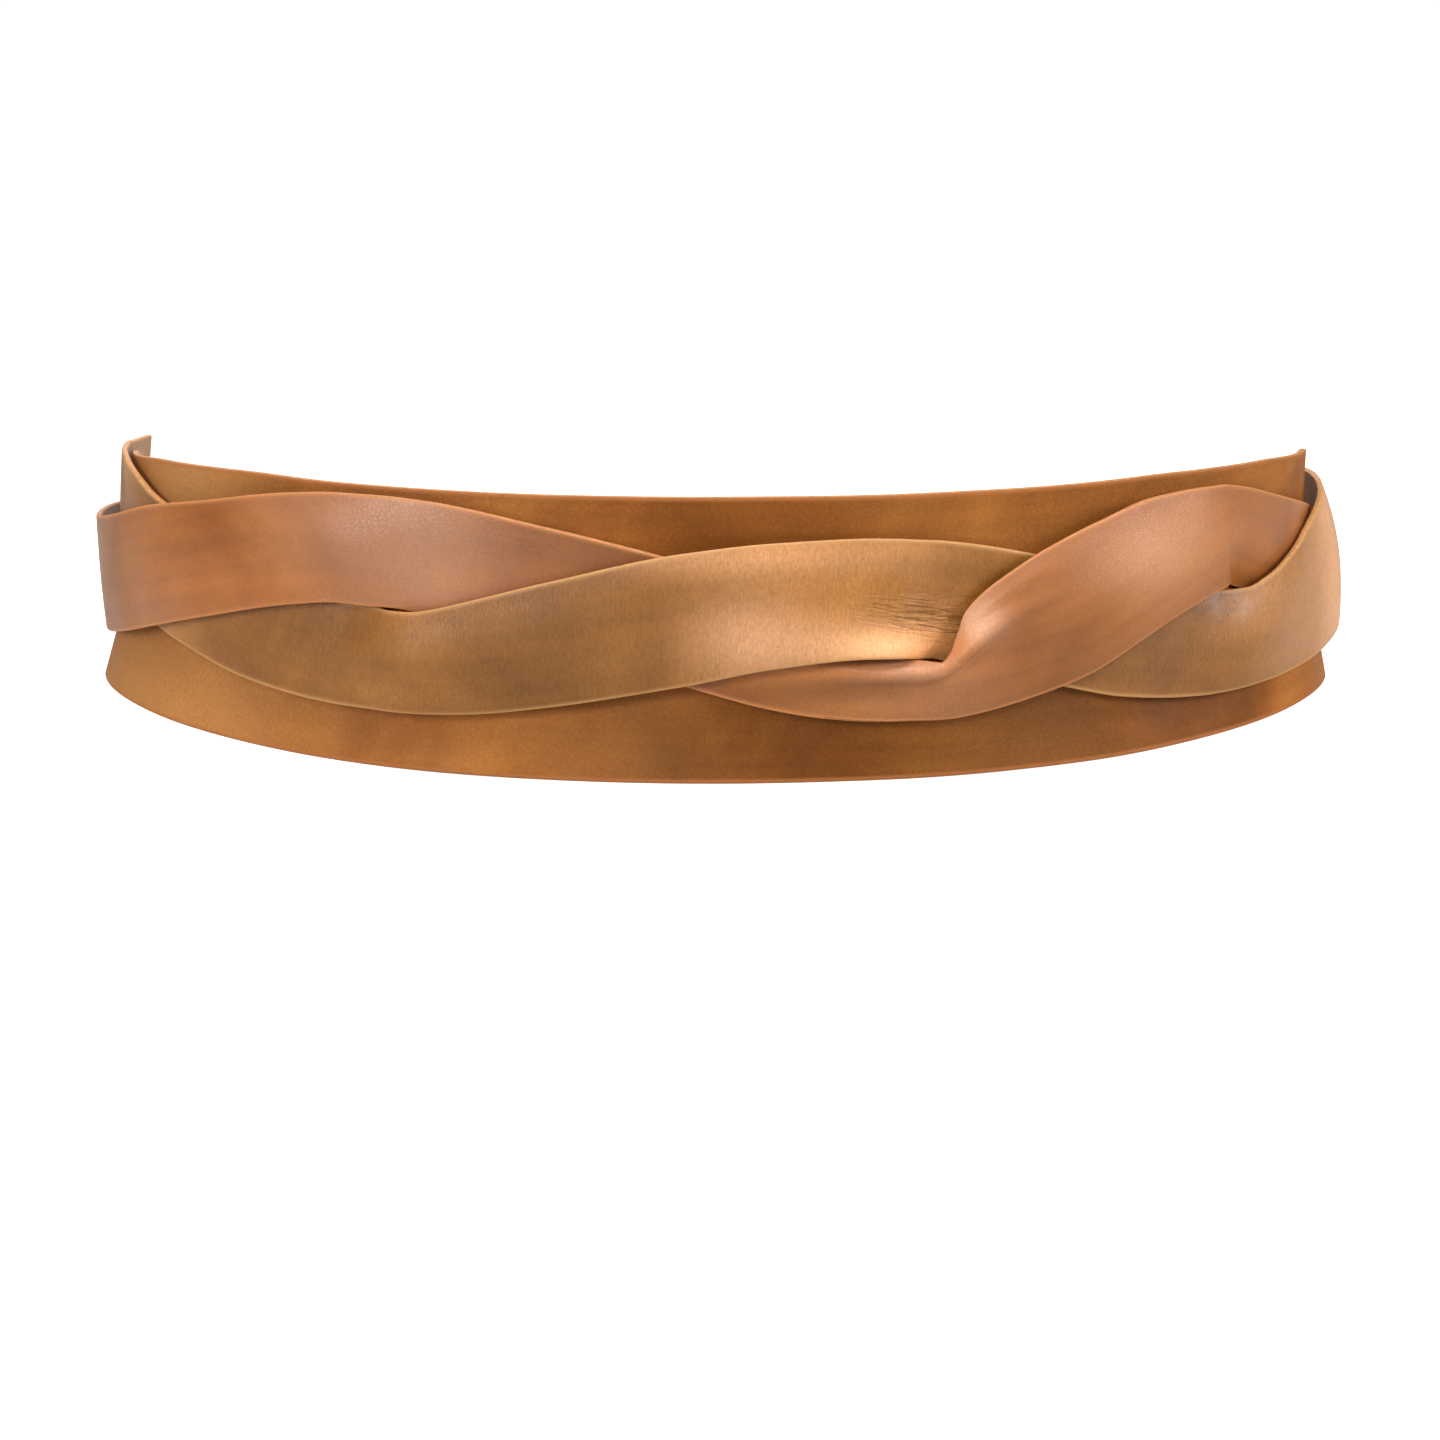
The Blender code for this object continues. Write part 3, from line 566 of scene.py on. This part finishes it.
# s, lower edge z, upper edge z, lower edge r, upper edge r, how far the middle bows out
rightStations = (
    (-534, 1.0, 29.5, -1.8, -1.8, 0.0), (-513, 1.0, 29.5, -1.8, -1.8, 0.0),
    (-500, 0.2, 29.0, -0.6, -0.6, 0.0), (-484, -0.6, 28.6, 0.8, 0.8, 0.0),
    (-430, -0.7, 28.3, 1.0, 1.0, 0.0), (-373, -0.6, 28.4, 1.0, 1.0, 0.0),
    (-340, 1.0, 29.8, 1.0, 1.0, 0.0), (-310, 4.0, 31.0, 1.0, 1.0, 0.0),
    (-290, 8.0, 32.6, 1.0, 1.0, 0.0), (-275, 12.6, 34.4, 1.0, 1.0, 0.2),
    (-262, 18.0, 36.4, 1.0, 1.4, 0.8), (-257, 20.0, 37.2, 1.4, 1.6, 1.4),
    (-251, 20.6, 37.8, 2.6, 2.2, 2.2), (-241, 18.8, 38.2, 4.0, 3.2, 1.8),
    (-228, 16.0, 39.2, 4.6, 4.1, 0.8), (-212, 14.6, 40.6, 5.2, 5.3, 0.4),
    (-190, 15.2, 42.6, 6.8, 6.9, 0.2), (-168, 16.0, 43.6, 6.8, 7.4, 0.2),
    (-150, 19.2, 46.6, 6.4, 7.6, 0.4), (-131, 24.2, 51.4, 5.8, 6.4, 0.6),
    (-115, 28.4, 54.0, 5.6, 5.6, 1.0), (-89, 34.3, 57.9, 5.4, 4.2, 2.0),
    (-78, 35.6, 58.5, 5.0, 3.6, 2.4), (-72, 35.3, 58.5, 4.6, 3.4, 2.4),
    (-67, 35.1, 58.4, 3.6, 3.2, 2.2), (-62, 34.2, 58.1, 2.5, 3.0, 1.8),
    (-55, 32.0, 57.4, 2.2, 2.7, 1.2), (-38, 28.4, 54.2, 2.0, 2.4, 0.4),
    (-10, 21.8, 47.7, 2.2, 2.1, 0.0), (11, 15.9, 40.0, 3.0, 2.0, 0.2),
    (24, 13.6, 31.5, 3.6, 2.0, 0.6), (32, 13.0, 26.6, 4.1, 2.0, 1.0),
    (38, 12.9, 25.6, 4.5, 2.3, 1.4), (42, 12.9, 25.4, 4.6, 3.6, 1.4),
    (46, 12.9, 25.3, 4.7, 5.2, 1.4), (48.5, 13.0, 27.4, 4.8, 5.8, 1.5),
    (50.5, 13.1, 31.2, 4.8, 6.0, 1.6), (52, 13.3, 35.4, 4.8, 6.1, 1.6),
    (55, 13.7, 38.9, 4.8, 6.2, 1.6), (60, 14.6, 42.6, 4.8, 6.3, 1.6),
    (69, 16.8, 47.9, 4.8, 6.4, 1.6), (80, 20.0, 52.8, 4.8, 6.2, 1.6),
    (94, 26.8, 57.0, 5.0, 5.6, 1.6),
    (106, 32.0, 57.7, 4.9, 4.8, 1.8), (114, 34.4, 57.6, 4.7, 4.2, 1.8),
    (119, 34.8, 56.9, 3.5, 3.8, 1.6), (124, 33.6, 56.0, 2.4, 3.4, 1.2),
    (131, 31.0, 54.3, 2.2, 3.1, 0.8), (142, 26.4, 51.6, 3.3, 2.8, 0.2),
    (160, 20.6, 47.4, 5.5, 2.3, 0.0), (178, 15.2, 42.6, 7.4, 2.0, 0.0),
    (190, 12.8, 40.8, 7.1, 2.0, 0.0), (198, 11.6, 39.6, 6.3, 2.0, 0.0))
leftStations = (
    (534, 1.0, 29.5, -1.8, -1.8, 0.0), (514, 1.0, 29.3, -1.8, -1.8, 0.0),
    (505, 0.2, 24.6, 0.2, 0.0, 1.0), (500, -0.3, 20.6, 1.1, 1.0, 2.2),
    (495, -0.6, 18.6, 2.2, 2.2, 3.0), (489, -0.7, 19.6, 3.4, 3.6, 2.6),
    (482, -0.7, 22.6, 3.8, 4.2, 1.8),
    (466, -0.7, 27.4, 3.6, 3.8, 0.6), (430, -0.7, 28.4, 3.2, 3.2, 0.0),
    (373, -0.7, 28.4, 3.2, 3.2, 0.0), (340, 1.0, 29.8, 3.2, 3.2, 0.0),
    (310, 3.8, 32.0, 3.4, 3.4, 0.0), (284, 6.8, 35.0, 3.8, 3.6, 0.0),
    (254, 11.4, 39.6, 4.6, 3.8, 0.2), (238, 14.2, 42.4, 5.2, 4.0, 0.3),
    (222, 17.0, 45.6, 6.4, 4.2, 0.4), (206, 22.0, 49.4, 7.6, 4.4, 1.0),
    (190, 22.4, 51.0, 9.4, 4.4, 1.9), (180, 20.6, 50.6, 10.4, 4.5, 1.9),
    (168, 17.4, 48.9, 10.2, 4.6, 1.4), (158, 14.8, 46.6, 8.9, 4.8, 1.0),
    (150, 13.3, 43.6, 7.8, 5.0, 1.0), (144, 12.5, 40.9, 7.0, 5.4, 1.4),
    (135, 11.9, 37.2, 6.2, 5.6, 2.0), (130, 11.7, 35.5, 5.8, 5.4, 2.4),
    (124, 11.5, 33.9, 5.4, 4.7, 2.4), (119, 11.4, 33.8, 5.1, 3.5, 2.2),
    (114, 11.4, 34.3, 4.9, 2.4, 1.6), (106, 11.8, 34.6, 4.6, 2.0, 0.6),
    (90, 13.7, 39.6, 3.8, 1.9, 0.0), (74, 17.7, 44.6, 2.8, 1.9, 0.0),
    (58, 22.0, 48.4, 2.2, 2.2, 0.2), (50, 24.0, 49.8, 2.2, 2.6, 0.6),
    (46, 25.4, 50.3, 2.6, 2.8, 1.0), (42, 25.9, 50.6, 3.8, 3.0, 1.2),
    (38, 26.4, 50.9, 5.0, 3.1, 1.4), (30, 26.7, 51.2, 5.2, 3.4, 1.6),
    (13, 25.1, 50.7, 4.8, 4.4, 1.6), (-6, 21.1, 48.6, 4.6, 4.8, 1.6),
    (-32, 16.2, 42.5, 4.6, 5.2, 1.8), (-50, 13.6, 37.4, 4.6, 5.2, 2.2),
    (-56, 13.2, 35.7, 4.6, 5.1, 2.4), (-62, 12.9, 34.5, 4.5, 4.7, 2.4),
    (-67, 12.8, 34.3, 4.4, 3.6, 2.2), (-72, 12.9, 34.9, 4.3, 2.5, 1.6),
    (-78, 13.0, 35.0, 4.3, 2.1, 0.8), (-86, 13.4, 38.2, 4.1, 2.0, 0.3),
    (-96, 14.4, 42.0, 3.8, 2.1, 0.0), (-109, 16.3, 45.6, 3.4, 2.3, 0.0),
    (-122, 19.2, 48.8, 3.0, 2.5, 0.0), (-135, 21.8, 52.6, 2.6, 2.8, 0.0),
    (-148, 25.4, 57.2, 2.4, 2.4, 0.0), (-160, 28.4, 59.6, 2.4, 1.2, 0.3),
    (-172, 30.0, 59.8, 2.2, -0.1, 0.7), (-184, 30.2, 59.0, 2.0, -0.5, 0.9),
    (-197, 30.2, 58.4, 2.0, 0.2, 0.7))


def tieSurface(s, stations, relief):
    # r = lowR + (highR - lowR) * share + bow * 4 * share * (1 - share) + relief, where share is
    # the share of the way from the lower edge to the upper one
    low, high, lowR, highR, bow = (part[:, None] for part in through(stations, s).T)
    low = np.maximum(low, waist["floorGap"])
    share = np.linspace(0.0, 1.0, tie["fineColumns"])[None, :]
    z = low + (high - low) * share
    r = lowR + (highR - lowR) * share + bow * 4 * share * (1 - share)
    r = r + relief(s[:, None], z, share)
    z, r = evenAcross(z, r, tie["columns"])
    return onOval(np.broadcast_to(s[:, None], z.shape), z, r)


# where the left tie dives under the right one; its wrinkles rise to the left by rise degrees,
# reach that far (mm) and fade over halfWidth; coarse folds are in the mesh, fine ones in the grain
pinch = {"s": 52.0, "z": 33.0, "rise": 11.0, "reach": 27.0, "halfWidth": 3.6, "converge": 0.012,
         "foldDepth": 0.11, "foldPitch": 1.9, "finePitch": 0.8, "fineLength": 7.5}
# ridge of the right tie's rolled lip there: s, height, size
lipRidge = ((18, 24.0, 0.0), (26, 23.6, 0.9), (34, 23.3, 2.3), (42, 23.4, 2.9), (46, 24.2, 2.9),
            (49, 26.2, 2.7), (52, 29.0, 2.3), (56, 32.0, 1.7), (63, 35.6, 0.9), (78, 40.0, 0.0))
lip = {"width": 1.9, "hollow": 0.28, "hollowBelow": 4.6, "hollowWidth": 2.6, "rollDepth": 1.3}
# fold where the right tie goes under the left one, leaning back by lean mm per mm of height
crease = {"s": 118.5, "lean": 0.62, "leanFrom": 34.5, "leanHeight": 14, "depth": 1.1}
# how far the left tie's lower edge stands off where it passes over the lip
standOff = {"s": 18, "width": 26, "r": 1.6}


def rightRelief(s, z, share):
    # rolled lip at the pinch, then slow waves over the open stretches
    inRange = np.clip(s[:, 0], 18, 76)
    height, size = (part[:, None] for part in through(lipRidge, inRange).T)
    hollow = lip["hollow"] * bump(z, height - lip["hollowBelow"], lip["hollowWidth"])
    ridge = size * (bump(z, height, lip["width"]) - hollow)
    sFold = crease["s"] - crease["lean"] * np.clip(z - crease["leanFrom"], 0, crease["leanHeight"])
    fold = -crease["depth"] * rise(s, sFold - 0.6, sFold + 3.2) * (1 - rise(z, 37.0, 49.0))
    fold = fold * (1 - rise(s, 124, 134))
    waves = tie["wave"] * softWaves(s, z, 26.0, 3) * rise(s, -190, -150) * (1 - rise(s, 118, 130))
    rolled = -lip["rollDepth"] * rise(share, 0.86, 1.0) * rise(s, 46, 52) * (1 - rise(s, 66, 84))
    return ridge + waves + rolled + fold


def leftRelief(s, z, share):
    # coarse wrinkles that run into the pinch, and slow waves
    above, along, strength = wrinkleField(s, z)
    lifted = standOff["r"] * bump(s, standOff["s"], standOff["width"]) * (1 - rise(z, 25.0, 38.0))
    turn = above * math.tau / pinch["foldPitch"] + 0.8 * np.sin(along * 0.35)
    folds = pinch["foldDepth"] * np.cos(turn) * strength
    waves = tie["wave"] * softWaves(s, z, 30.0, 8) * rise(s, -60, -40) * (1 - rise(s, 180, 200))
    return lifted + folds + waves


def wrinkleField(s, z):
    # distances above and along the line that the wrinkles follow, and their strength
    tilt = math.radians(pinch["rise"])
    left, up = pinch["s"] - s, z - pinch["z"]
    along = left * math.cos(tilt) + up * math.sin(tilt)
    above = up * math.cos(tilt) - left * math.sin(tilt)
    above = above / (1 - pinch["converge"] * np.clip(along, 0, 30))
    strength = rise(along, -5.0, -1.0) * (1 - rise(along, 0.45 * pinch["reach"], pinch["reach"]))
    return above, along, strength * bump(above, 0, pinch["halfWidth"])


# spots of painted highlights and sheen, and of painted light and shade, on each tie, as rows of
# amount, s and length, and height and tall where they fade upwards and downwards too
leftSheen = ((0.85, 8, 12, 31, 9), (0.85, 32, 16, 29.5, 5), (0.45, 8, 34, 48, 4),
             (0.3, 136, 12, 28, 14), (1.0, 166, 16))
leftLightAndShade = ((1.0, 38, 11, 29.0, 4.5), (0.2, 10, 40, 50, 5), (-0.3, -30, 26), (-0.14, -85, 25),
           (-0.12, 42, 22, 43, 6), (-0.24, 96, 24), (0.14, 168, 14), (-0.12, 128, 14))
rightSheen = ((0.36, -57, 15), (0.6, 92, 14, 46, 9), (0.75, 54, 5, 34, 4.5),
              (0.38, 39, 9, 23.6, 2.2), (0.3, -188, 10))
rightLightAndShade = ((-0.36, -152, 17), (0.4, -98, 22, 36, 7), (-0.18, -24, 14), (0.3, 50, 8, 28, 6),
            (-0.12, -75, 26), (-0.12, 40, 9, 23.6, 2.2))


def leftFields(s, z, flat):
    above, along, strength = wrinkleField(s, z)
    outer = onGrainSide(flat)
    wrinkle = [above / pinch["finePitch"], along / pinch["fineLength"], strength * outer]
    # painted light and shade, and painted highlights and sheen, from the tables above
    paintedLightAndShade = np.where(outer, 1.0 + spots(s, z, leftLightAndShade), 1.0)
    return {"rosySheenShare": np.clip(spots(s, z, leftSheen) * outer, 0, 1), "paintedLightAndShade": paintedLightAndShade,
            "wrinkle": np.stack(wrinkle, -1)}


def rightFields(s, z, flat):
    outer = onGrainSide(flat)
    # random rosy tone plus painted highlights
    toneAndSheen = 0.08 + 0.1 * softWaves(flat[..., 0], flat[..., 1], 60.0, 21) + spots(s, z, rightSheen)
    # painted light and shade from the table, and a painted shadow in the hollow under the left tie's edge,
    # but not on the lip's ridge
    paintedLightAndShade = 1.0 + spots(s, z, rightLightAndShade) - 0.2 * bump(s, 15, 40) * (1 - bump(z, 23.6, 2.4))
    paintedLightAndShade = paintedLightAndShade - 0.3 * bump(s, 24, 18) * rise(z, 15, 20) * (1 - bump(z, 23.6, 2.0))
    # painted shade towards the upper edge left of the pinch, and towards the lower edge right of it
    paintedLightAndShade = paintedLightAndShade - 0.2 * bump(s, -46, 24) * rise(z, 40, 50)
    paintedLightAndShade = paintedLightAndShade - 0.3 * bump(s, 72, 20) * (1 - rise(z, 26, 42))
    return {"rosySheenShare": np.clip(toneAndSheen, 0, 0.85) * outer, "paintedLightAndShade": np.where(outer, paintedLightAndShade, 1.0),
            "wrinkle": np.zeros(flat.shape)}


# s and the distance between sections there: close together round the pinch, wide behind the waist
sectionSteps = [(-200, 0.85), (15, 0.75), (24, 0.45), (66, 0.45), (76, 0.75), (200, 0.85)]
rightSteps = sectionSteps + [(-534, 1.8), (-215, 1.6)]
leftSteps = sectionSteps + [(534, 1.8), (215, 1.6)]
for side, first, last, steps, stations, relief, fields, look in (
        ("left", -197, 534, leftSteps, leftStations, leftRelief, leftFields, leftGrain),
        ("right", -534, 198, rightSteps, rightStations, rightRelief, rightFields, rightGrain)):
    tieS = placesAlong(first, last, steps)
    tieGrid = tieSurface(tieS, stations, relief) + ovalShift
    name = f"{side}_tie_leather"
    piece = addPiece(name, leatherMesh(name, tieS, tieGrid, tie["thickness"], fields),
                     [grainLeather(f"vegetableTanned{side.title()}Tie", look),
                      cutEdgeLeather(f"burnished{side.title()}TieEdge", *look["edges"]), buffedFlesh])
    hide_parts(f"{side}_tie")
print("ties done")

# places of the stitch rows, stitches per row, their pitch and first height, and the tie's r there;
# thread radius, the gap that stands for a contact, plies round the thread, their depth as a share
# of the radius, and how many pass per mm
seam = {"rows": (217.0, 226.0), "stitches": 6, "pitch": 4.2, "firstZ": 4.6, "rootR": -1.8,
        "radius": 0.3, "gap": 0.3, "plies": 3, "plyDepth": 0.10, "twist": 1.1, "sides": 18}


def threadPath(surfaceR, inward):
    # heights and stand-offs of one thread: over each gap, and a dip into each hole
    middle = 0.5 * (0.5 * panel["thickness"] + seam["rootR"] - 0.5 * tie["thickness"])
    lying = surfaceR - inward * (seam["gap"] + seam["radius"])
    deepest = middle - inward * (0.5 * seam["gap"] + seam["radius"])
    halfway = deepest - inward * 0.6
    holes = seam["firstZ"] + np.arange(seam["stitches"]) * seam["pitch"]
    z = (holes[:, None] + np.array([-1.0, -0.5, 0.0, 0.5, 1.0])).ravel()
    r = np.tile([lying, halfway, deepest, halfway, lying], seam["stitches"])
    walked = np.concatenate(([0.0], np.cumsum(np.hypot(np.diff(z), np.diff(r)))))
    even = np.linspace(0, walked[-1], int(walked[-1] / 0.12))
    smooth = through(np.column_stack([walked, z, r]).tolist(), even)
    return even, smooth[:, 0], smooth[:, 1]


def threadMesh(name, place, surfaceR, inward):
    # round tube whose radius swells and shrinks three times round it, the pattern turning
    # along its length as twisted plies do
    walked, z, r = threadPath(surfaceR, inward)
    path = onOval(np.full(len(z), place), z, r) + ovalShift
    heading = unit(np.gradient(path, axis=0))
    outward = unit(onOval(place, 0.0, 1.0) - onOval(place, 0.0, 0.0))
    side = unit(np.cross(heading, outward[None, :] + 0.001))  # nudged, so never quite parallel
    front = np.cross(side, heading)
    turn = np.linspace(0, math.tau, seam["sides"], endpoint=False)[None, :]
    plies = np.cos(seam["plies"] * (turn - walked[:, None] * seam["twist"] * math.tau / 3))
    radius = (seam["radius"] * (1 - seam["plyDepth"] + seam["plyDepth"] * plies))[..., None]
    around = side[:, None] * np.cos(turn)[..., None] + front[:, None] * np.sin(turn)[..., None]
    ring = path[:, None] + radius * around
    count, sides = ring.shape[:2]
    index = np.arange(count * sides).reshape(count, sides)
    across = np.roll(index, -1, axis=1)
    quads = np.stack([index[:-1], across[:-1], across[1:], index[1:]], -1).reshape(-1, 4).tolist()
    ends = [index[0, ::-1].tolist(), index[-1].tolist()]
    mesh = bpy.data.meshes.new(name)
    mesh.from_pydata((ring.reshape(-1, 3) * mm).tolist(), [], quads + ends)
    mesh.shade_smooth()
    return mesh


threadMaterial = waxedThread()
for way, side in ((-1, "left"), (1, "right")):
    for row, rowName in zip(seam["rows"], ("front", "back")):
        for kind, surfaceR, inward in (("needle", 0.5 * panel["thickness"], -1),
                                       ("bobbin", seam["rootR"] - 0.5 * tie["thickness"], 1)):
            node = f"{side}_seam_{rowName}_row_{kind}_thread"
            thread = addPiece(
                node + "_ply", threadMesh(node, way * row, surfaceR, inward), [threadMaterial])
            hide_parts(node)
print("threads done")

# floorGlow and worldSeen are only seen directly by the camera; worldLight lights the belt
studio = {"floor": "C4C3BF", "floorSize": 30.0, "floorGlow": 0.92, "worldSeen": 1.05,
          "worldLight": 0.20}


def floorPiece():
    # one wide sheet of matt paper, kept white where it is looked at directly
    size = studio["floorSize"]
    mesh = bpy.data.meshes.new("paper_floor")
    corners = [(-size, -size, 0), (size, -size, 0), (size, size, 0), (-size, size, 0)]
    mesh.from_pydata(corners, [], [(0, 1, 2, 3)])
    obj = bpy.data.objects.new("paper_floor", mesh)
    bpy.context.scene.collection.objects.link(obj)
    material, tree, shader = newMaterial("mattWhitePaper", **{
        "Roughness": 0.9, "Base Color": linear(studio["floor"]), "Emission Color": (1, 1, 1, 1)})
    seen = addNode(tree, "ShaderNodeLightPath").outputs["Is Camera Ray"]
    glow = addNode(tree, "ShaderNodeMath", {0: seen, 1: studio["floorGlow"]}, operation="MULTIPLY")
    tree.links.new(glow.outputs["Value"], shader.inputs["Emission Strength"])
    mesh.materials.append(material)
    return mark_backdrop(obj)


def softbox(name, place, size, power, target=(0.0, -0.05, 0.03)):
    # area lamp at place, turned to the target; lamps look down their own -Z
    lamp = bpy.data.lights.new(name, "AREA")
    lamp.shape = "RECTANGLE"
    lamp.size, lamp.size_y = size
    lamp.energy = power
    obj = bpy.data.objects.new(name, lamp)
    aim = (Vector(target) - Vector(place)).to_track_quat("-Z", "Y").to_matrix().to_4x4()
    obj.matrix_world = Matrix.Translation(place) @ aim
    bpy.context.scene.collection.objects.link(obj)
    return obj


floorPiece()
softbox("left_softbox", (-0.98, -1.20, 0.55), (0.32, 0.6), 12)
softbox("right_softbox", (1.42, -0.55, 0.55), (0.32, 0.6), 12)
softbox("front_softbox", (0.10, -1.30, 0.85), (0.30, 0.25), 4)
softbox("back_softbox", (-0.25, 1.45, 0.80), (0.9, 0.5), 9)
softbox("overhead_softbox", (0.0, -0.28, 1.25), (0.9, 0.5), 14)

world = bpy.data.worlds.new("white_studio")
world.use_nodes = True
backdrop = world.node_tree.nodes["Background"]
backdrop.inputs["Color"].default_value = (1, 1, 1, 1)
seenDirectly = addNode(world.node_tree, "ShaderNodeLightPath").outputs["Is Camera Ray"]
brightness = addNode(world.node_tree, "ShaderNodeMapRange", {
    "Value": seenDirectly, "To Min": studio["worldLight"], "To Max": studio["worldSeen"]})
world.node_tree.links.new(brightness.outputs["Result"], backdrop.inputs["Strength"])
bpy.context.scene.world = world
bpy.context.scene.view_settings.view_transform = "Standard"

# slightly above the belt's middle, with a long lens
camera = {"place": (0.0032, -0.5508, 0.1321), "pitch": 14.6, "yaw": 0.35, "lens": 56.85}
lens = bpy.data.cameras.new("product_camera")
lens.lens = camera["lens"]
lens.sensor_width = 36.0
cameraObject = bpy.data.objects.new("product_camera", lens)
cameraObject.location = camera["place"]
cameraObject.rotation_euler = (math.radians(90 - camera["pitch"]), 0, math.radians(camera["yaw"]))
bpy.context.scene.collection.objects.link(cameraObject)
bpy.context.scene.camera = cameraObject

print("scene ready")
